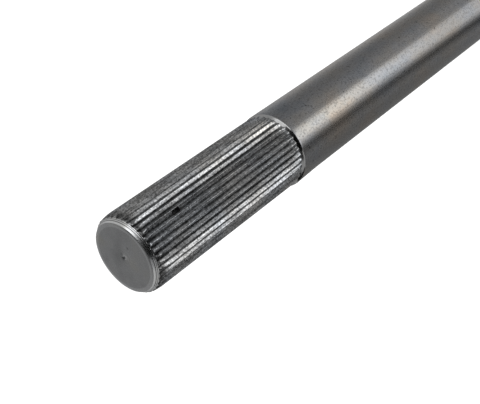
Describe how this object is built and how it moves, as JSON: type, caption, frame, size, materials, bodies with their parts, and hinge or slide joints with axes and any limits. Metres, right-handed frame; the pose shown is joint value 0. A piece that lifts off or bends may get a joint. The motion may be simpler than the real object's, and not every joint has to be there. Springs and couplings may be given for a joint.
{
  "type": "splined shaft",
  "caption": "Solid steel bar with 38 fine, very slightly helical teeth on one end, an index pit among them, a relief groove and a shoulder, and a plain round shank.",
  "frame": {"origin": "centre of the plain end face", "axes": "+Z along the shaft's axis, towards the splined end; +X through the index pit"},
  "size_m": [0.0257, 0.0258, 0.214],
  "materials": {
    "steel": "machined teeth and face, dull mottled shank"
  },
  "bodies": {
    "root": {"splined_shaft": "steel"}
  },
  "joints": []
}
